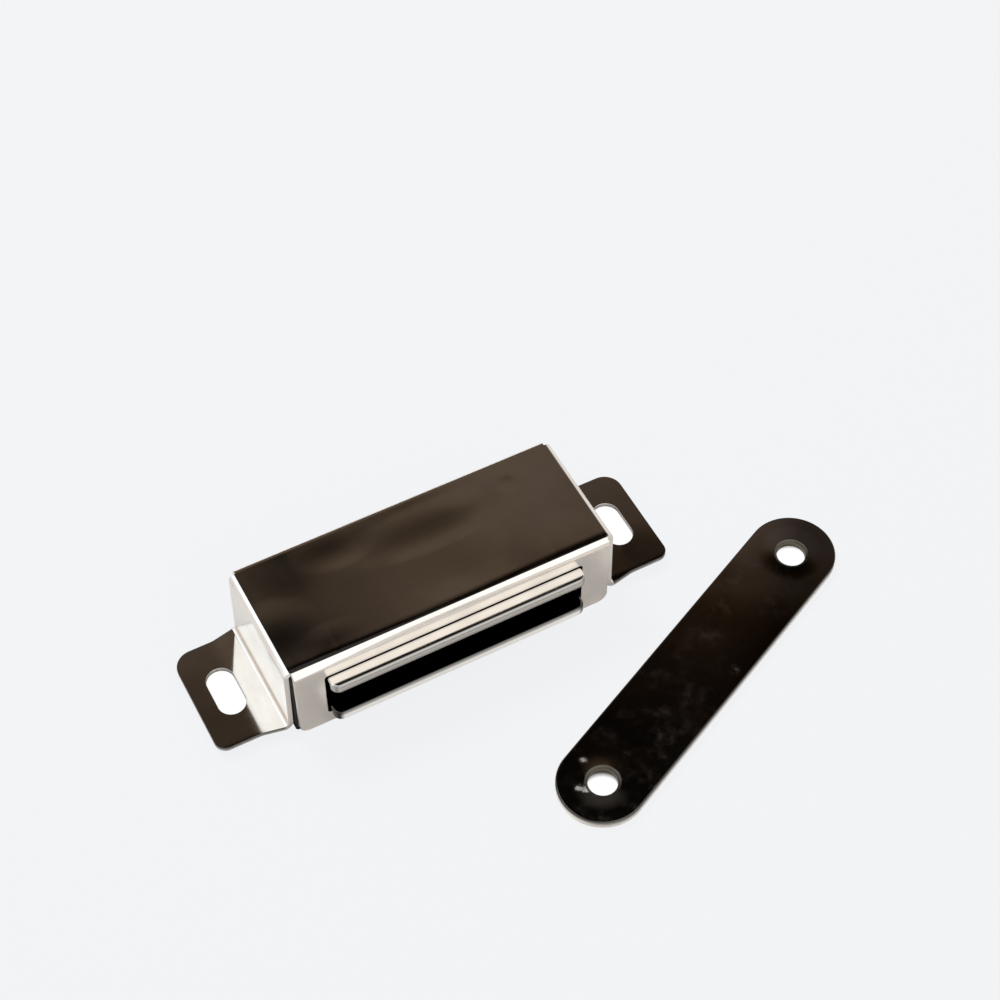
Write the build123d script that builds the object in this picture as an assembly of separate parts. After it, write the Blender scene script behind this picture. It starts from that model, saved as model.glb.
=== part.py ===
"""Magnetic cabinet catch: a folded sheet case with a floating magnet pack, and its strike plate.

Millimetres, +Z up. X runs along the catch, -Y is the side that faces the door. The origin is the
middle of the case on the surface that its flaps stand on.
"""
from build123d import *
import os

# Case: one stainless sheet, folded along its length and its depth
overall_length = 60.0
case_length = 42.5
case_depth = 17.1
case_height = 11.8
sheet = 0.6
inner_bend = 0.2
outer_bend = inner_bend + sheet

# Ears: the end walls lean a little outwards and fold into them
wall_lean = 0.2
foot_bend = 0.45
ear_top = 1.4
ear_width = 14.4
ear_front_corner = 1.4
ear_rear_corner = 2.3
ear_root_length = 3.2
ear_root_round = 4.0
slot_pitch = 52.0
slot_length = 6.7
slot_width = 3.4

# Flaps: front one with the window, rear one plain, both a little narrower than the case
end_wall_depth = case_depth - 2 * outer_bend
flap_width = 40.8
flap_corner = 1.3
window_width = 33.4
window_corner = 0.4
rail_height = 1.95

# Magnet pack: two pole plates on a ferrite block
pole_sheet = 1.4
pack_bottom = 2.1
pack_height = 7.1
nose_reach = 1.8
nose_width = window_width - 0.5
nose_corner = 1.0
pole_width = 37.2
pole_corner = 0.8
pole_edge_round = 0.25
pole_back = 5.4
magnet_width = 36.0
magnet_front = -6.5
magnet_back = 5.0
magnet_chamfer = 0.35

# Room for the pack to float
play_height = 0.15
play_side = 0.25
play_front = 0.15
play_back = 0.2
float_travel = 1.0

# Carrier: moulded lining that fills the case around the pack
carrier_bottom = 0.1
carrier_top_edge = 0.4
carrier_side_edge = 0.2
carrier_foot_depth = 0.6
carrier_foot_wall = 1.2
carrier_foot_corner = 1.0

# Strike plate, lying beside the catch
strike_length = 51.0
strike_width = 10.7
strike_sheet = 1.0
strike_pitch = 40.0
strike_hole = 3.5
strike_hole_round = 0.4
strike_x = 25.3
strike_y = -22.35
strike_turn = 25.2
strike_edge_round = 0.2

half_length = case_length / 2
half_depth = case_depth / 2
foot_length = half_length + wall_lean
window_top = pack_bottom + pack_height + play_height
flap_inside = half_depth - sheet
wall_inside = half_length - sheet
roof_inside = case_height - sheet
near = 0.01


def bent_strip(plane, points, bends, width):
    """Sheet of constant thickness: its section on a plane, each bend rounded, pulled both ways."""
    section = plane * make_face(Polyline(*points, close=True))
    for (across, up), radius in bends:
        corner = plane.from_local_coords(Vector(across, up, 0))
        section = fillet(section.vertices().sort_by_distance(corner)[0], radius)
    return extrude(section, amount=width / 2, both=True)


def mirrored(points):
    """Half an outline, with its mirror image added in the order that closes the outline."""
    return points + [(-across, up) for across, up in reversed(points)]


def long_strip():
    """Ear, end wall, top panel, end wall and ear: the folds that cross the length."""
    ear_tip = overall_length / 2
    ear_under = ear_top - sheet
    foot_inside = foot_length - sheet
    outside = [(ear_tip, ear_top), (foot_length, ear_top), (half_length, case_height)]
    inside = [(ear_tip, ear_under), (foot_inside, ear_under), (wall_inside, roof_inside)]
    points = mirrored(outside)
    points += [(across, up) for across, up in mirrored(inside)[::-1]]
    bends = []
    for side in (1, -1):
        bends.append(((side * half_length, case_height), outer_bend))
        bends.append(((side * wall_inside, roof_inside), inner_bend))
        bends.append(((side * foot_length, ear_top), foot_bend))
        bends.append(((side * foot_inside, ear_under), foot_bend + sheet))
    return bent_strip(Plane.XZ, points, bends, end_wall_depth)


def cross_strip():
    """Front flap, top panel and rear flap: the folds that run along the length."""
    outside = [(half_depth, 0), (half_depth, case_height)]
    inside = [(flap_inside, 0), (flap_inside, roof_inside)]
    points = mirrored(outside)
    points += [(across, up) for across, up in mirrored(inside)[::-1]]
    bends = []
    for side in (1, -1):
        bends.append(((side * half_depth, case_height), outer_bend))
        bends.append(((side * flap_inside, roof_inside), inner_bend))
    return bent_strip(Plane.YZ, points, bends, flap_width)


def flat_outline():
    """Plan view of the folded strip: the ears are narrower than the walls and flare into them."""
    root = foot_length + ear_root_length
    tip = overall_length / 2
    quarter = [(root, ear_width / 2), (tip, ear_width / 2)]
    quarter = [(foot_length + foot_bend, end_wall_depth / 2)] + quarter
    right = quarter + [(across, -up) for across, up in reversed(quarter)]
    points = right + [(-across, -up) for across, up in right]
    outline = make_face(Polyline(*points, close=True))
    tips = outline.vertices().filter_by(lambda v: abs(abs(v.X) - tip) < near)
    outline = fillet(tips.filter_by(lambda v: v.Y < 0), ear_front_corner)
    tips = outline.vertices().filter_by(lambda v: abs(abs(v.X) - tip) < near)
    outline = fillet(tips.sort_by(Axis.Y)[-2:], ear_rear_corner)
    roots = outline.vertices().filter_by(lambda v: abs(abs(v.X) - root) < near)
    return fillet(roots, ear_root_round)


def housing():
    """The case as one folded piece, with its slots and window punched."""
    strip = long_strip() & extrude(flat_outline(), amount=case_height)
    cross = cross_strip()
    corners = cross.edges().filter_by(Axis.Y).filter_by(lambda e: e.center().Z < near)
    cross = fillet(corners, flap_corner)
    case = strip + cross
    for side in (1, -1):
        slot = SlotOverall(slot_length, slot_width, rotation=90)
        case -= Pos(side * slot_pitch / 2, 0, 0) * extrude(slot, amount=ear_top + sheet)
    window = RectangleRounded(window_width, window_top - rail_height, window_corner)
    window = Plane.XZ.offset(flap_inside - sheet) * Pos(0, (window_top + rail_height) / 2) * window
    return case - extrude(window, amount=3 * sheet)


def pole_plate(bottom):
    """Stamped plate: wide shoulders behind the flap, and a nose that comes out of the window."""
    shoulder = -flap_inside + play_front
    front = -half_depth - nose_reach
    half = [(nose_width / 2, front), (nose_width / 2, shoulder), (pole_width / 2, shoulder),
            (pole_width / 2, pole_back)]
    outline = make_face(Polyline(*mirrored(half), close=True))
    front_corners = outline.vertices().filter_by(lambda v: abs(v.Y - front) < near)
    outline = fillet(front_corners, nose_corner)
    others = outline.vertices().filter_by(lambda v: abs(abs(v.X) - pole_width / 2) < near)
    outline = fillet(others, pole_corner)
    plate = extrude(outline, amount=pole_sheet)
    flats = plate.faces().filter_by(Axis.Z)
    rims = [edge for face in flats for edge in face.outer_wire().edges()]
    return Pos(0, 0, bottom) * fillet(rims, pole_edge_round)


def magnet():
    """Ferrite block with its long edges broken."""
    depth = magnet_back - magnet_front
    height = pack_height - 2 * pole_sheet
    block = Box(magnet_width, depth, height)
    block = chamfer(block.edges().filter_by(Axis.Z), magnet_chamfer)
    return Pos(0, (magnet_back + magnet_front) / 2, pack_bottom + pack_height / 2) * block


def carrier():
    """Moulded lining: fills the case, with a pocket open to the front for the pack to float in."""
    width = 2 * wall_inside
    depth = 2 * flap_inside
    height = roof_inside - carrier_bottom
    block = Box(width, depth, height, align=(Align.CENTER, Align.CENTER, Align.MIN))
    block = chamfer(block.edges().group_by(Axis.Z)[-1], carrier_top_edge)
    block = chamfer(block.edges().filter_by(Axis.Z), carrier_side_edge)
    block = Pos(0, 0, carrier_bottom) * block
    pocket_back = pole_back + float_travel + play_back
    pocket_bottom = pack_bottom - play_height
    pocket = Box(
        pole_width + 2 * play_side,
        pocket_back + flap_inside,
        window_top - pocket_bottom,
        align=(Align.CENTER, Align.MIN, Align.MIN),
    )
    block -= Pos(0, -flap_inside, pocket_bottom) * pocket
    foot = RectangleRounded(
        width - 2 * carrier_foot_wall,
        depth - 2 * carrier_foot_wall,
        carrier_foot_corner,
    )
    return block - Pos(0, 0, carrier_bottom) * extrude(foot, amount=carrier_foot_depth)


def strike_plate():
    """Flat strip with full-round ends and two holes with rolled rims, turned beside the catch."""
    blank = extrude(SlotOverall(strike_length, strike_width), amount=strike_sheet)
    blank = fillet(blank.edges().group_by(Axis.Z)[-1], strike_edge_round)
    for side in (1, -1):
        blank -= Pos(side * strike_pitch / 2, 0, 0) * Cylinder(strike_hole / 2, 3 * strike_sheet)
    rims = blank.edges().filter_by(GeomType.CIRCLE)
    rims = rims.filter_by(lambda edge: abs(edge.radius - strike_hole / 2) < near)
    blank = fillet(rims.group_by(Axis.Z)[-1], strike_hole_round)
    return Pos(strike_x, strike_y, 0) * Rot(0, 0, strike_turn) * blank


def build():
    """Every node of the catch by name."""
    upper = pack_bottom + pack_height - pole_sheet
    return {
        "housing": housing(),
        "carrier": carrier(),
        "magnet": magnet(),
        "upper_pole_plate": pole_plate(upper),
        "lower_pole_plate": pole_plate(pack_bottom),
        "strike_plate": strike_plate(),
    }


os.makedirs("parts", exist_ok=True)
for name, solid in build().items():
    export_step(solid, f"parts/{name}.step")
    box = solid.bounding_box()
    print(name, round(solid.volume, 2), [round(value, 2) for value in (*box.min, *box.max)])
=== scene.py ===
import bmesh
import bpy
import math
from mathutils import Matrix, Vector


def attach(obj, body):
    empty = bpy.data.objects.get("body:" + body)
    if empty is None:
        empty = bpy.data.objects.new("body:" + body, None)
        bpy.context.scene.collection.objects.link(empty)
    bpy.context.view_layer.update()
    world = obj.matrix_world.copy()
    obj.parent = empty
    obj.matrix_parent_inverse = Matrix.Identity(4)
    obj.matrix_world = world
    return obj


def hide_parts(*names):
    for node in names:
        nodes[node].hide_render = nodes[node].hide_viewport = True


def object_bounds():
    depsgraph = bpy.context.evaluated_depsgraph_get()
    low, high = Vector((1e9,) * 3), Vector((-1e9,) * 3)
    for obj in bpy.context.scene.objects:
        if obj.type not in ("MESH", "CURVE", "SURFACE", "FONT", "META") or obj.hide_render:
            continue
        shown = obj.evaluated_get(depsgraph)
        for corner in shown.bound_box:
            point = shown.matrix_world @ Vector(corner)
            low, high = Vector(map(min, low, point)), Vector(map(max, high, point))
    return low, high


# magnetic catch with its strike plate: finishes, case shell and studio around the solids, in metres

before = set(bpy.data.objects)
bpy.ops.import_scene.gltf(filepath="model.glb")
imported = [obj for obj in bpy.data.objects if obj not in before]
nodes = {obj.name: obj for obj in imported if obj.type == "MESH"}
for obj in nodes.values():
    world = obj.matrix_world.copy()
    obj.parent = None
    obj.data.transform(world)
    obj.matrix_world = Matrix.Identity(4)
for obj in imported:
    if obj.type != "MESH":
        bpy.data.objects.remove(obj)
cadLow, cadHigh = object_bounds()
scene = bpy.context.scene
mm = 0.001
black = (0, 0, 0, 1)
print("frame loaded:", ", ".join(sorted(nodes)))


# camera

view = {
    "azimuth": -27.872,  # 0 looks along +Y
    "elevation": 52.96,
    "target": (15.945 * mm, 10.725 * mm, 0.0),
    "distance": 275.25 * mm,
    "lens": 78.918,
    "sensor": 36.0,
    "nearest": 0.01,
    "farthest": 20.0,
}


def towards(azimuth, elevation):
    # azimuth is counted in degrees from +Y towards +X
    turn = math.radians(azimuth)
    rise = math.radians(elevation)
    return Vector((math.sin(turn) * math.cos(rise), math.cos(turn) * math.cos(rise), math.sin(rise)))


def aim(thing, back):
    # the camera or lamp looks away from back, with Z upwards
    thing.rotation_mode = "QUATERNION"
    thing.rotation_quaternion = (-back).to_track_quat("-Z", "Y")


def makeCamera():
    data = bpy.data.cameras.new("camera")
    data.lens = view["lens"]
    data.sensor_width = view["sensor"]
    data.clip_start = view["nearest"]
    data.clip_end = view["farthest"]
    camera = bpy.data.objects.new("camera", data)
    scene.collection.objects.link(camera)
    back = towards(180 - view["azimuth"], view["elevation"])
    camera.location = Vector(view["target"]) + back * view["distance"]
    aim(camera, back)
    scene.camera = camera


makeCamera()
print("camera set")


# node helpers

def newMaterial(name):
    material = bpy.data.materials.new(name)
    material.use_nodes = True
    tree = material.node_tree
    return material, tree, tree.nodes["Principled BSDF"]


def addNode(tree, kind, inputs=None, **settings):
    node = tree.nodes.new(kind)  # settings first: a Mix node's sockets depend on its data type
    for key, value in settings.items():
        setattr(node, key, value)
    for key, value in (inputs or {}).items():
        socket = node.inputs[key]
        if isinstance(value, bpy.types.NodeSocket):
            tree.links.new(value, socket)
        else:
            socket.default_value = value
    return node


def objectCoords(tree, scale=(1, 1, 1)):
    coords = addNode(tree, "ShaderNodeTexCoord").outputs["Object"]
    return addNode(tree, "ShaderNodeMapping", {"Vector": coords, "Scale": scale}).outputs["Vector"]


def placeIn(tree, vector):
    # X, Y and Z of a place, each on its own
    return addNode(tree, "ShaderNodeSeparateXYZ", {0: vector}).outputs


def noise(tree, vector, scale, detail=3.0, roughness=0.5):
    return addNode(tree, "ShaderNodeTexNoise", {
        "Vector": vector,
        "Scale": scale,
        "Detail": detail,
        "Roughness": roughness,
    }).outputs["Fac"]


def remap(tree, value, low, high, toLow=0.0, toHigh=1.0):
    return addNode(tree, "ShaderNodeMapRange", {
        "Value": value,
        "From Min": low,
        "From Max": high,
        "To Min": toLow,
        "To Max": toHigh,
    }).outputs["Result"]


def mixColour(tree, factor, first, second):
    # inputs 0, 6 and 7 of a Mix node are its factor and its two colours
    return addNode(tree, "ShaderNodeMix", {0: factor, 6: first, 7: second}, data_type="RGBA").outputs[2]


def maths(tree, operation, first, second=0.0):
    return addNode(tree, "ShaderNodeMath", {0: first, 1: second}, operation=operation).outputs[0]


def plus(tree, first, *others):
    for other in others:
        first = maths(tree, "ADD", first, other)
    return first


def times(tree, first, *others):
    for other in others:
        first = maths(tree, "MULTIPLY", first, other)
    return first


def offset(tree, value, middle):
    # how far a value lies from a middle, either way
    return maths(tree, "ABSOLUTE", maths(tree, "SUBTRACT", value, middle))


def distanceTo(tree, vector, point):
    pair = {0: vector, 1: point}
    return addNode(tree, "ShaderNodeVectorMath", pair, operation="DISTANCE").outputs["Value"]


def dress(tree, shader, colour, rough, heights, metallic=1.0):
    # heights in millimetres are added up and set as one bump
    bump = {"Height": plus(tree, *heights), "Strength": 1.0, "Distance": mm}
    tree.links.new(addNode(tree, "ShaderNodeBump", bump).outputs["Normal"], shader.inputs["Normal"])
    tree.links.new(colour, shader.inputs["Base Color"])
    tree.links.new(rough, shader.inputs["Roughness"])
    shader.inputs["Metallic"].default_value = metallic


# polished faces of the case

polished = {
    "colour": (0.87, 0.80, 0.72, 1),
    "dull": (0.78, 0.71, 0.635, 1),
    "smudgeScale": 160.0,
    "smoothest": 0.035,
    "roughest": 0.11,
    "lineScale": (60, 1400, 1400),  # polishing lines run along X
    "lineDepth": 0.0006,
    "waveScale": 70.0,
    "waveDepth": 0.13,
    "dent": (13.6 * mm, 4.6 * mm, 11.8 * mm),
    "dentRadius": 1.6 * mm,
    "dentDepth": 0.02,
    # folded sides, streaked up and down between these heights
    "sideTop": 11.2 * mm,
    "sideTopBlend": 0.4 * mm,
    "sideFoot": 1.5 * mm,
    "sideFootBlend": 0.2 * mm,
    "streakScale": (1100, 1100, 40),
    "streakDepth": 0.02,
    "sideRough": 0.12,
    # top panel: the sheet starts to turn down before the fold itself
    "rollStart": -6.5 * mm,
    "rollLength": 1.25 * mm,
    "rollDepth": 0.046,
    "dishFrom": (-19.5 * mm, -14.5 * mm),  # the dish grows between these places along X
    "dishTo": (14.0 * mm, 2.0 * mm),  # and between these from the other end
    "dishWidth": 7.0 * mm,
    "dishDepth": 0.07,
    "leanFrom": -6.0 * mm,  # the left end leans forward a little
    "leanFull": -14.0 * mm,
    "leanRise": 0.14,
    "presses": [
        # shallow presses: x, y, half length, half width and height
        (2.5 * mm, 3.4 * mm, 12.0 * mm, 3.8 * mm, 0.05),
        (-8.5 * mm, 6.0 * mm, 6.0 * mm, 3.6 * mm, 0.055),
        (-19.5 * mm, -2.5 * mm, 6.0 * mm, 5.5 * mm, 0.08),
        (-14.0 * mm, -6.0 * mm, 5.0 * mm, 3.0 * mm, 0.025),
    ],
    # ears: bent up a little towards their tips, with painted shade on their outer parts
    "earTop": 1.5 * mm,
    "earTopBlend": 0.1 * mm,
    "earRoot": 21.9 * mm,
    "earLength": 8.1 * mm,
    "leftEarRise": 0.62,
    "rightEarRise": 0.16,
    "earPaintedShade": 0.31,
    "earDimFrom": 24.0 * mm,
    "earDimFull": 25.5 * mm,
}


def panelHeights(tree, place):
    top = polished["sideTop"]
    roof = remap(tree, place["Z"], top, top + polished["sideTopBlend"])
    across = maths(tree, "DIVIDE", place["Y"], polished["dishWidth"])
    dish = times(
        tree,
        remap(tree, place["X"], *polished["dishTo"]),
        remap(tree, place["X"], *polished["dishFrom"]),
    )
    lean = remap(tree, place["X"], polished["leanFrom"], polished["leanFull"])
    heights = [
        times(tree, across, across, dish, roof, polished["dishDepth"]),
        times(tree, across, lean, roof, polished["leanRise"]),
    ]
    for x, y, halfLength, halfWidth, height in polished["presses"]:
        along = maths(tree, "DIVIDE", maths(tree, "SUBTRACT", place["X"], x), halfLength)
        beside = maths(tree, "DIVIDE", maths(tree, "SUBTRACT", place["Y"], y), halfWidth)
        away = plus(tree, times(tree, along, along), times(tree, beside, beside))
        within = remap(tree, away, 1, 0)
        heights.append(times(tree, beside, within, within, roof, height))
    return heights


def rollHeight(tree, place):
    past = maths(tree, "SUBTRACT", polished["rollStart"], place["Y"])
    roll = maths(tree, "MAXIMUM", maths(tree, "DIVIDE", past, polished["rollLength"]))
    return times(tree, roll, roll, roll, -polished["rollDepth"])


def dentHeight(tree, plain):
    away = maths(tree, "DIVIDE", distanceTo(tree, plain, polished["dent"]), polished["dentRadius"])
    depth = maths(tree, "MAXIMUM", maths(tree, "SUBTRACT", 1.0, times(tree, away, away)))
    return times(tree, depth, depth, -polished["dentDepth"])


def earHeight(tree, place, end, rise):
    root = polished["earRoot"]
    outwards = remap(tree, place["X"], end * root, end * (root + polished["earLength"]))
    return times(tree, outwards, rise)


def polishedSteel():
    material, tree, shader = newMaterial("polishedSteel")
    plain = objectCoords(tree)
    place = placeIn(tree, plain)
    smudge = noise(tree, plain, polished["smudgeScale"], 4.0, 0.6)
    colour = mixColour(tree, remap(tree, smudge, 0.4, 0.75), polished["colour"], polished["dull"])
    earTop = polished["earTop"]
    # painted shade: the ears' tops are darkened towards their outer ends
    low = remap(tree, place["Z"], earTop + polished["earTopBlend"], earTop, 0, polished["earPaintedShade"])
    length = offset(tree, place["X"], 0)
    outer = remap(tree, length, polished["earDimFrom"], polished["earDimFull"])
    colour = mixColour(tree, times(tree, low, outer), colour, black)
    top = polished["sideTop"]
    foot = polished["sideFoot"]
    side = times(
        tree,
        remap(tree, place["Z"], top, top - polished["sideTopBlend"]),
        remap(tree, place["Z"], foot, foot + polished["sideFootBlend"]),
    )
    rough = remap(tree, smudge, 0.35, 0.7, polished["smoothest"], polished["roughest"])
    rough = plus(tree, rough, times(tree, side, polished["sideRough"]))
    waves = noise(tree, plain, polished["waveScale"], 1.0)
    lines = noise(tree, objectCoords(tree, polished["lineScale"]), 1.0, 2.0)
    streaks = noise(tree, objectCoords(tree, polished["streakScale"]), 1.0, 2.0)
    heights = [
        times(tree, waves, polished["waveDepth"]),
        times(tree, lines, polished["lineDepth"]),
        times(tree, streaks, side, polished["streakDepth"]),
        rollHeight(tree, place),
        *panelHeights(tree, place),
        dentHeight(tree, plain),
        earHeight(tree, place, -1, polished["leftEarRise"]),
        earHeight(tree, place, 1, polished["rightEarRise"]),
    ]
    dress(tree, shader, colour, rough, heights)
    return material


# sheared edges of the case

cut = {
    "dark": (0.50, 0.465, 0.42, 1),
    "light": (0.72, 0.68, 0.63, 1),
    "grainScale": (2600, 2600, 500),
    "grainDepth": 0.006,
    "smoothest": 0.28,
    "roughest": 0.45,
    "blend": 0.1 * mm,
    "earTop": 1.4 * mm,  # painted shade: the ears' cut edges are rolled over and painted dark at the top
    "earLow": 0.9 * mm,
    "earShade": 0.12,
    "slotMiddle": 26.0 * mm,  # the slots' edges are kept out of most of this painted shade
    "slotHalfWidth": 1.8 * mm,
    "slotHalfLength": 3.5 * mm,
    "slotLight": 0.9,
    "windowHalf": 16.9 * mm,  # painted shade: the window's edges lie in its shade
    "windowFront": -7.8 * mm,
    "windowFoot": 1.8 * mm,
    "windowShade": 0.05,
}


def cutSteel():
    material, tree, shader = newMaterial("cutSteel")
    place = placeIn(tree, objectCoords(tree))
    grain = noise(tree, objectCoords(tree, cut["grainScale"]), 1.0, 2.0)
    colour = mixColour(tree, grain, cut["dark"], cut["light"])
    blend = cut["blend"]
    # painted shade: the ears' cut edges darken towards their top, the slots' edges keep most of their
    # colour
    onEar = remap(tree, place["Z"], cut["earTop"], cut["earLow"], cut["earShade"], 1)
    aboveEar = remap(tree, place["Z"], cut["earTop"], cut["earTop"] + blend)
    across = maths(tree, "SUBTRACT", offset(tree, place["X"], 0), cut["slotMiddle"])
    inSlot = times(
        tree,
        maths(tree, "LESS_THAN", offset(tree, across, 0), cut["slotHalfWidth"]),
        maths(tree, "LESS_THAN", offset(tree, place["Y"], 0), cut["slotHalfLength"]),
    )
    shade = maths(tree, "MAXIMUM", onEar, aboveEar)
    shade = maths(tree, "MAXIMUM", shade, times(tree, inSlot, cut["slotLight"]))
    # painted shade on the window's edges
    inWindow = times(
        tree,
        remap(tree, offset(tree, place["X"], 0), cut["windowHalf"] + blend, cut["windowHalf"]),
        remap(tree, place["Y"], cut["windowFront"] + blend, cut["windowFront"]),
        remap(tree, place["Z"], cut["windowFoot"], cut["windowFoot"] + blend, 0, 1 - cut["windowShade"]),
    )
    shade = times(tree, shade, maths(tree, "SUBTRACT", 1.0, inWindow))
    colour = mixColour(tree, shade, black, colour)
    rough = remap(tree, grain, 0.3, 0.7, cut["smoothest"], cut["roughest"])
    dress(tree, shader, colour, rough, [times(tree, grain, cut["grainDepth"])])
    return material


# pole plates

pole = {
    "colour": (0.86, 0.83, 0.78, 1),
    "dull": (0.76, 0.725, 0.67, 1),
    "smudgeScale": 240.0,
    "smoothest": 0.05,
    "roughest": 0.12,
    "lineScale": (80, 1600, 1600),
    "lineDepth": 0.001,
    "sheet": 1.4 * mm,
    "atFlap": -8.6 * mm,  # painted shade: the upper face is darker next to the flap
    "clear": -8.95 * mm,
    "flapShade": 0.6,
    "edgeStart": -9.6 * mm,  # and painted darker where it is rolled over to the front
    "edgeFull": -10.1 * mm,
    "edgeShade": 0.4,
    "face": -10.35 * mm,
    "faceFrom": 0.15 * mm,
    "faceFull": 0.05 * mm,
}
upperPole = {
    "top": 9.2 * mm,
    "body": 1.0,
    "front": (0.86, 0.80, 0.72, 1),
    "lip": 0.65 * mm,  # painted shade: the front edge is darker where it is rolled over
    "lipShade": 0.5,
    # painted shade at the foot of the front face
    "foot": 0.65 * mm,
    "footShade": 0.2,
}
lowerPole = {
    "top": 3.5 * mm,
    "body": 0.12,  # painted shade: it lies in the window's shade, its ends most of all
    # painted light: its front face is lighter than the upper plate's
    "front": (1.0, 0.95, 0.88, 1),
    "lip": 0.6 * mm,
    "lipShade": 0.1,
    "foot": 0.1 * mm,
    "footShade": 1.0,
    "endStart": 15.4 * mm,
    "endFull": 16.1 * mm,
    "endShade": 0.1,
}


def poleSteel(name, plate):
    material, tree, shader = newMaterial(name)
    plain = objectCoords(tree)
    place = placeIn(tree, plain)
    smudge = noise(tree, plain, pole["smudgeScale"], 4.0)
    # painted shade on the top face: next to the flap, towards the front edge, and over the whole lower
    # plate
    body = plate["body"]
    shade = times(
        tree,
        remap(tree, place["Y"], pole["atFlap"], pole["clear"], pole["flapShade"], 1),
        remap(tree, place["Y"], pole["edgeStart"], pole["edgeFull"], body, body * pole["edgeShade"]),
    )
    colour = mixColour(tree, shade, black, mixColour(tree, smudge, pole["colour"], pole["dull"]))
    top = plate["top"]
    under = top - pole["sheet"]
    # painted shade on the front face at its top and its foot
    faceShade = times(
        tree,
        remap(tree, place["Z"], top, top - plate["lip"], plate["lipShade"], 1),
        remap(tree, place["Z"], under, under + plate["foot"], plate["footShade"], 1),
    )
    # painted shade at the lower plate's ends
    if "endShade" in plate:
        length = offset(tree, place["X"], 0)
        ends = remap(tree, length, plate["endStart"], plate["endFull"], 1, plate["endShade"])
        faceShade = times(tree, faceShade, ends)
    face = mixColour(tree, faceShade, black, plate["front"])
    onFace = remap(tree, place["Y"], pole["face"] + pole["faceFrom"], pole["face"] + pole["faceFull"])
    colour = mixColour(tree, onFace, colour, face)
    rough = remap(tree, smudge, 0.3, 0.7, pole["smoothest"], pole["roughest"])
    lines = noise(tree, objectCoords(tree, pole["lineScale"]), 1.0, 2.0)
    dress(tree, shader, colour, rough, [times(tree, lines, pole["lineDepth"])])
    return material


# strike plate

strike = {
    "middle": (25.3 * mm, -22.35 * mm),
    "turn": 25.2,
    "pitch": 40.0 * mm,
    "top": 1.0 * mm,
    "colour": (0.76, 0.70, 0.64, 1),
    "dull": (0.62, 0.56, 0.50, 1),
    "smudgeScale": 200.0,
    "smoothest": 0.03,
    "roughest": 0.08,
    "waveScale": 80.0,
    "waveDepth": 0.06,
    "handledScale": 420.0,
    "handled": 0.12,
    "tipShadeFrom": 50.0 * mm,  # x - y: painted shade, the upper end darker towards its tip
    "tipShadeFull": 58.0 * mm,
    "tipShadeLevel": 0.38,
    # painted shade in each hole: the bore and the dimpled lip round it are painted dark
    "bore": 1.77 * mm,
    "boreBlend": 0.035 * mm,
    "borePaintedShade": (0.20, 0.165, 0.12, 1),
    "lip": 2.2 * mm,
    "lipBlend": 0.11 * mm,
    "clearBlend": 0.22 * mm,
    "lipPaintedShade": (0.10, 0.088, 0.068, 1),
    "lipRough": 0.25,
    "rim": 4.2 * mm,  # the face rises softly towards each hole
    "rimFull": 1.98 * mm,
    "rimHeight": 0.05,
    "edgeTopShade": (0.02, 0.018, 0.015, 1),  # painted shade: the outer edge is rolled over and painted dark at the top
    "edgeFootLight": (1.0, 0.93, 0.85, 1),  # with painted light where it meets the paper
    "edgeFootAt": 0.35 * mm,
    "edgeFrom": 0.0005 * mm,
    "edgeFull": 0.004 * mm,
    "scuffScale": 900.0,
    "scuffs": [
        # x, y, radius and strength
        (6.48 * mm, -27.54 * mm, 0.7 * mm, 0.55),
        (4.25 * mm, -30.36 * mm, 0.6 * mm, 0.5),
        (4.93 * mm, -31.01 * mm, 0.7 * mm, 0.55),
        (28.37 * mm, -25.15 * mm, 1.0 * mm, 0.2),
    ],
}


def strikeHoles():
    x, y = strike["middle"]
    turn = math.radians(strike["turn"])
    reaches = (strike["pitch"] / 2, -strike["pitch"] / 2)
    return [(x + reach * math.cos(turn), y + reach * math.sin(turn)) for reach in reaches]


def strikeRough(tree, plain, flat, smudge):
    rough = remap(tree, smudge, 0.35, 0.7, strike["smoothest"], strike["roughest"])
    handled = noise(tree, plain, strike["handledScale"], 6.0, 0.65)
    rough = plus(tree, rough, remap(tree, handled, 0.5, 0.75, 0, strike["handled"]))
    fine = remap(tree, noise(tree, plain, strike["scuffScale"], 5.0, 0.65), 0.42, 0.56)
    for x, y, radius, strength in strike["scuffs"]:
        near = remap(tree, distanceTo(tree, flat, (x, y, 0)), radius, 0)
        rough = plus(tree, rough, times(tree, near, fine, strength))
    return rough


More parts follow.
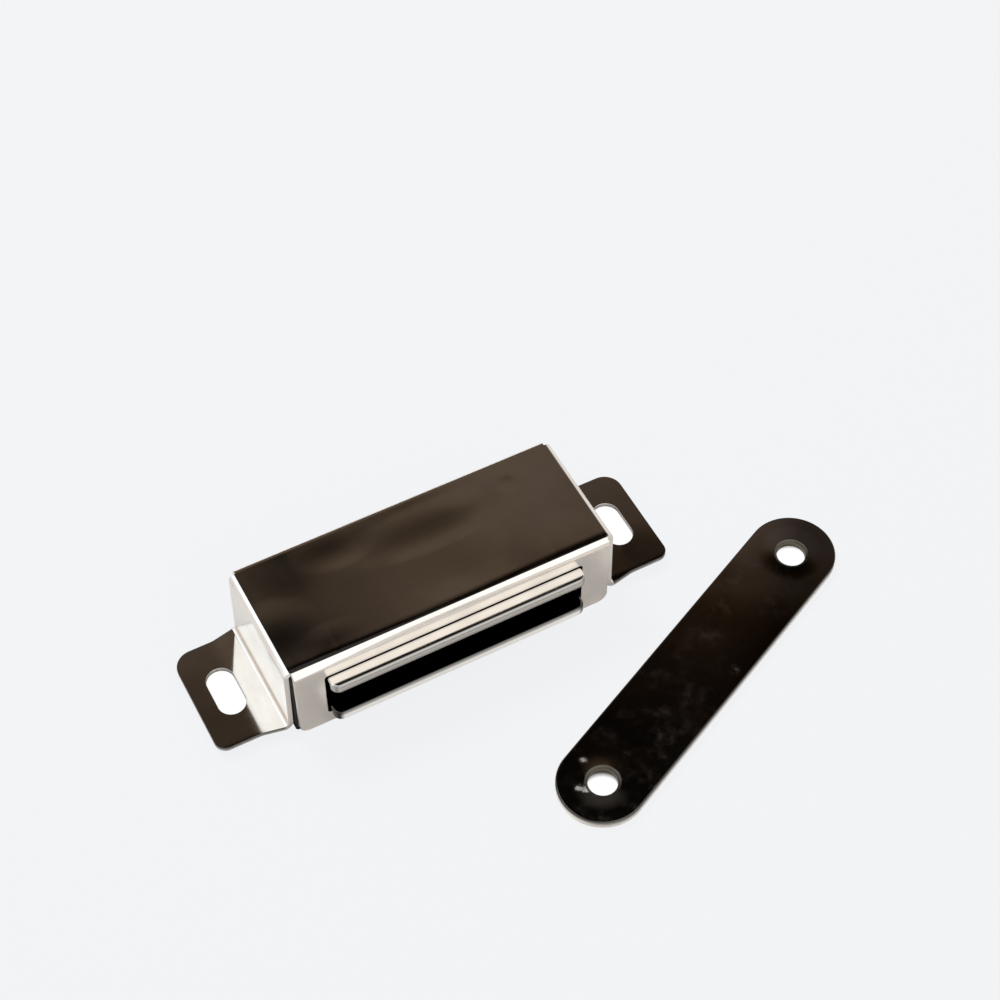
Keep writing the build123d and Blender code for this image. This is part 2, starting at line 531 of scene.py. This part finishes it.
def strikeSteel():
    material, tree, shader = newMaterial("strikeSteel")
    plain = objectCoords(tree)
    place = placeIn(tree, plain)
    flatten = {0: plain, 1: (1, 1, 0)}
    flat = addNode(tree, "ShaderNodeVectorMath", flatten, operation="MULTIPLY").outputs[0]
    smudge = noise(tree, plain, strike["smudgeScale"], 4.0, 0.6)
    colour = mixColour(tree, smudge, strike["colour"], strike["dull"])
    # painted shade towards the tip of the upper end
    along = maths(tree, "SUBTRACT", place["X"], place["Y"])
    tipShade = remap(tree, along, strike["tipShadeFrom"], strike["tipShadeFull"], 1, strike["tipShadeLevel"])
    colour = mixColour(tree, tipShade, black, colour)
    rough = strikeRough(tree, plain, flat, smudge)
    heights = [times(tree, noise(tree, plain, strike["waveScale"], 1.0), strike["waveDepth"])]
    lip = strike["lip"]
    bore = strike["bore"]
    clear = 1
    for x, y in strikeHoles():
        away = distanceTo(tree, flat, (x, y, 0))
        near = remap(tree, away, strike["rim"], strike["rimFull"])
        heights.append(times(tree, near, near, strike["rimHeight"]))
        # painted shade on each hole's lip and bore
        onLip = remap(tree, away, lip, lip - strike["lipBlend"])
        colour = mixColour(tree, onLip, colour, strike["lipPaintedShade"])
        inBore = remap(tree, away, bore + strike["boreBlend"], bore)
        colour = mixColour(tree, inBore, colour, strike["borePaintedShade"])
        rough = plus(tree, rough, times(tree, onLip, strike["lipRough"]))
        clear = times(tree, remap(tree, away, lip, lip + strike["clearBlend"]), clear)
    # painted shade and painted light on the outer edge: dark at the top, light at the foot
    top = strike["top"]
    down = remap(tree, place["Z"], top, strike["edgeFootAt"])
    edge = mixColour(tree, down, strike["edgeTopShade"], strike["edgeFootLight"])
    below = remap(tree, place["Z"], top - strike["edgeFrom"], top - strike["edgeFull"])
    colour = mixColour(tree, times(tree, clear, below), colour, edge)
    dress(tree, shader, colour, rough, heights)
    return material


# carrier and magnet

moulding = {
    "dark": (0.003, 0.003, 0.004, 1),
    "light": (0.006, 0.006, 0.008, 1),
    "grainScale": 2500.0,
    "grainDepth": 0.004,
    "smoothest": 0.45,
    "roughest": 0.6,
    "shine": 0.2,
}
ferrite = {
    "dark": (0.0008, 0.0008, 0.0008, 1),
    "light": (0.002, 0.002, 0.002, 1),
    "grainScale": (300, 3000, 3000),  # grinding marks run along X
    "grainDepth": 0.005,
    "smoothest": 0.4,
    "roughest": 0.6,
    "shine": 0.02,
}


def dressDark(tree, shader, grain, values):
    colour = mixColour(tree, grain, values["dark"], values["light"])
    rough = remap(tree, grain, 0.3, 0.7, values["smoothest"], values["roughest"])
    dress(tree, shader, colour, rough, [times(tree, grain, values["grainDepth"])], 0.0)
    shader.inputs["Specular IOR Level"].default_value = values["shine"]


def blackMoulding():
    material, tree, shader = newMaterial("blackMoulding")
    grain = noise(tree, objectCoords(tree), moulding["grainScale"], 3.0)
    dressDark(tree, shader, grain, moulding)
    return material


def groundFerrite():
    material, tree, shader = newMaterial("groundFerrite")
    grain = noise(tree, objectCoords(tree, ferrite["grainScale"]), 1.0, 4.0)
    dressDark(tree, shader, grain, ferrite)
    return material


finishes = {
    "housing": polishedSteel(),
    "carrier": blackMoulding(),
    "magnet": groundFerrite(),
    "upper_pole_plate": poleSteel("upperPole", upperPole),
    "lower_pole_plate": poleSteel("lowerPole", lowerPole),
    "strike_plate": strikeSteel(),
}
for name, material in finishes.items():
    nodes[name].data.materials.clear()
    nodes[name].data.materials.append(material)
print("materials made")


# case: the folded sheet, with its cut edges broken and dull

shellForm = {
    "merge": 0.0005 * mm,
    "flat": math.radians(0.5),
    "sharp": math.radians(35),
    "sheet": 0.6 * mm,
    "sheetSlack": 0.08 * mm,
    "edgeRound": 0.06 * mm,
    "edgeSegments": 2,
    "normalWeight": 50,
}


def sharpEdges(edges):
    return [edge for edge in edges if edge.calc_face_angle(0) > shellForm["sharp"]]


def isCut(face):
    # a cut edge of the sheet lies between two sharp edges that are one sheet apart
    sharp = sharpEdges(face.edges)
    if len(sharp) == len(face.edges):
        return True
    if len(sharp) != 2:
        return False
    middles = [(edge.verts[0].co + edge.verts[1].co) / 2 for edge in sharp]
    return abs((middles[0] - middles[1]).length - shellForm["sheet"]) < shellForm["sheetSlack"]


def makeShell():
    shell = bmesh.new()
    shell.from_mesh(nodes["housing"].data)
    bmesh.ops.remove_doubles(shell, verts=shell.verts, dist=shellForm["merge"])
    bmesh.ops.dissolve_limit(
        shell, angle_limit=shellForm["flat"], verts=shell.verts, edges=shell.edges, delimit={"NORMAL"}
    )
    for face in shell.faces:
        face.material_index = 1 if isCut(face) else 0
    broken = bmesh.ops.bevel(
        shell,
        geom=sharpEdges(shell.edges),
        offset=shellForm["edgeRound"],
        offset_type="OFFSET",
        segments=shellForm["edgeSegments"],
        profile=0.5,
        affect="EDGES",
        material=-1,
        clamp_overlap=False,
    )
    for face in broken["faces"]:
        face.material_index = 1
    for face in shell.faces:
        face.smooth = True
    mesh = bpy.data.meshes.new("case_shell")
    shell.to_mesh(mesh)
    shell.free()
    mesh.materials.append(finishes["housing"])
    mesh.materials.append(cutSteel())
    piece = bpy.data.objects.new("case_shell", mesh)
    scene.collection.objects.link(piece)
    weigh = piece.modifiers.new("evenNormals", "WEIGHTED_NORMAL")
    weigh.mode = "FACE_AREA"
    weigh.weight = shellForm["normalWeight"]
    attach(piece, "case")
    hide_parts("housing")
    print("case shell:", len(mesh.polygons), "faces")


makeShell()


# studio

paperWhite = (0.896, 0.905, 0.922, 1)
studio = {
    "dome": 0.5,
    "floorSize": 6.0,
    "gap": 0.02 * mm,
    "shadowShare": 0.07,
    # painted light: the floor is whiter under the slots and the strike plate's holes
    "underPaintedLight": (1.05, 1.05, 1.05, 1),
    "underSlots": [
        # x, y and radius
        (-25.5 * mm, 0.9 * mm, 3.75 * mm),
        (26.4 * mm, 0.9 * mm, 3.65 * mm),
    ],
    "underHoles": (2.35 * mm, 2.05 * mm),  # radii, upper hole first
    "holeShift": (-0.47 * mm, -0.88 * mm),
    "holeShade": (0.03, 0.026, 0.022, 1),
    "shadeFrom": 0.75 * mm,  # painted shadow: a dark ring round the white, from and to these distances
    "shadeFull": 0.7 * mm,
    "shadeEnd": 0.65 * mm,
    # painted light: a strip of floor before the window glows for the pole plates to mirror
    "stripMiddle": (1.0 * mm, -12.2 * mm),
    "stripHalf": (16.5 * mm, 0.7 * mm),
    "stripBlend": 1.0 * mm,
    "stripStrength": 0.6,
    # what the metal mirrors: brightness by height, then panels given by azimuth and
    # elevation, with their radius and soft edge in degrees
    "ceiling": [
        (0.58, paperWhite),
        (0.70, (0.10, 0.083, 0.079, 1)),
        (0.79, (0.085, 0.070, 0.066, 1)),
        (0.806, (0.068, 0.050, 0.037, 1)),
        (0.8145, (0.026, 0.016, 0.010, 1)),
        (0.823, (0.015, 0.008, 0.0035, 1)),
        (0.838, (0.008, 0.0053, 0.0035, 1)),
        (0.852, (0.0026, 0.002, 0.0014, 1)),
        (0.880, (0.0026, 0.002, 0.0014, 1)),
        (0.900, (0.036, 0.035, 0.034, 1)),
    ],
    "panels": [
        (12, 22, 30, 8, (0.10, 0.077, 0.058, 1)),
        (-50, 58, 26, 2, (1.26, 1.42, 1.59, 1)),
        (160, 50, 45, 5, (1.30, 1.34, 1.39, 1)),
    ],
    "lampDistance": 0.9,
    "lamps": {
        # azimuth, elevation, size and power
        "keyLamp": (-15, 50, 0.35, 4.0),
        "fillLamp": (150, 45, 0.6, 0.7),
    },
}


def floorColour(tree, ground):
    level = cadLow.z - studio["gap"]
    paper = paperWhite
    white = studio["underPaintedLight"]
    # painted light under the slots
    for x, y, radius in studio["underSlots"]:
        away = distanceTo(tree, ground, (x, y, level))
        paper = mixColour(tree, remap(tree, away, radius, radius * 0.9), paper, white)
    shiftX, shiftY = studio["holeShift"]
    for (x, y), radius in zip(strikeHoles(), studio["underHoles"]):
        away = distanceTo(tree, ground, (x + shiftX, y + shiftY, level))
        # painted shadow round each hole's painted light
        dark = remap(tree, away, radius + studio["shadeFrom"], radius + studio["shadeFull"])
        paper = mixColour(tree, dark, paper, studio["holeShade"])
        # painted light under each hole
        paper = mixColour(tree, remap(tree, away, radius + studio["shadeEnd"], radius), paper, white)
    fromBelow = addNode(tree, "ShaderNodeNewGeometry").outputs["Backfacing"]
    return mixColour(tree, fromBelow, paper, paperWhite)


def paintedLightStrip(tree, ground):
    place = placeIn(tree, ground)
    strip = studio["stripStrength"]
    for axis, middle, half in zip("XY", studio["stripMiddle"], studio["stripHalf"]):
        beyond = offset(tree, place[axis], middle)
        strip = times(tree, remap(tree, beyond, half + studio["stripBlend"], half), strip)
    return strip


def makeFloor():
    mesh = bpy.data.meshes.new("floor")
    sheet = bmesh.new()
    bmesh.ops.create_grid(sheet, x_segments=1, y_segments=1, size=studio["floorSize"] / 2)
    bmesh.ops.translate(sheet, verts=sheet.verts, vec=(0, 0, cadLow.z - studio["gap"]))
    sheet.to_mesh(mesh)
    sheet.free()
    floor = bpy.data.objects.new("floor", mesh)
    scene.collection.objects.link(floor)
    material, tree, shader = newMaterial("paperFloor")
    shader.inputs["Base Color"].default_value = paperWhite
    shader.inputs["Roughness"].default_value = 1.0
    shader.inputs["Specular IOR Level"].default_value = 0.0
    ground = objectCoords(tree)
    glow = addNode(tree, "ShaderNodeEmission", {"Color": floorColour(tree, ground), "Strength": 1.0})
    path = addNode(tree, "ShaderNodeLightPath").outputs
    seen = times(tree, path["Is Camera Ray"], 1.0 - studio["shadowShare"])
    # painted light seen only in reflections
    mirrored = times(tree, path["Is Glossy Ray"], paintedLightStrip(tree, ground))
    mix = addNode(tree, "ShaderNodeMixShader", {
        0: maths(tree, "MAXIMUM", seen, mirrored),
        1: shader.outputs[0],
        2: glow.outputs[0],
    })
    tree.links.new(mix.outputs[0], tree.nodes["Material Output"].inputs["Surface"])
    mesh.materials.append(material)


def ceilingColour(tree, direction):
    ramp = addNode(tree, "ShaderNodeValToRGB", {0: placeIn(tree, direction)["Z"]})
    stops = ramp.color_ramp.elements
    for index, (position, colour) in enumerate(studio["ceiling"]):
        stop = stops[index] if index < 2 else stops.new(position)
        stop.position = position
        stop.color = colour
    look = ramp.outputs["Color"]
    for azimuth, elevation, radius, edge, colour in studio["panels"]:
        pair = {0: direction, 1: towards(azimuth, elevation)}
        facing = addNode(tree, "ShaderNodeVectorMath", pair, operation="DOT_PRODUCT").outputs["Value"]
        outside = math.cos(math.radians(radius + edge))
        inside = math.cos(math.radians(radius))
        look = mixColour(tree, remap(tree, facing, outside, inside), look, colour)
    return look


def makeWorld():
    world = bpy.data.worlds.new("studio")
    scene.world = world
    world.use_nodes = True
    tree = world.node_tree
    tree.nodes.clear()
    direction = addNode(tree, "ShaderNodeTexCoord").outputs["Generated"]
    path = addNode(tree, "ShaderNodeLightPath").outputs
    mirrored = maths(tree, "MAXIMUM", path["Is Glossy Ray"], path["Is Transmission Ray"])
    dome = studio["dome"]
    colour = mixColour(tree, mirrored, (dome, dome, dome, 1), ceilingColour(tree, direction))
    colour = mixColour(tree, path["Is Camera Ray"], colour, paperWhite)
    back = addNode(tree, "ShaderNodeBackground", {"Color": colour, "Strength": 1.0})
    output = addNode(tree, "ShaderNodeOutputWorld")
    tree.links.new(back.outputs[0], output.inputs["Surface"])


def makeLamp(name, azimuth, elevation, size, power):
    data = bpy.data.lights.new(name, "AREA")
    data.shape = "DISK"
    data.size = size
    data.energy = power
    lamp = bpy.data.objects.new(name, data)
    scene.collection.objects.link(lamp)
    back = towards(azimuth, elevation)
    lamp.location = (cadLow + cadHigh) / 2 + back * studio["lampDistance"]
    aim(lamp, back)
    lamp.visible_glossy = False


makeFloor()
makeWorld()
for name, values in studio["lamps"].items():
    makeLamp(name, *values)
print("studio lit")

scene.view_settings.view_transform = "Standard"
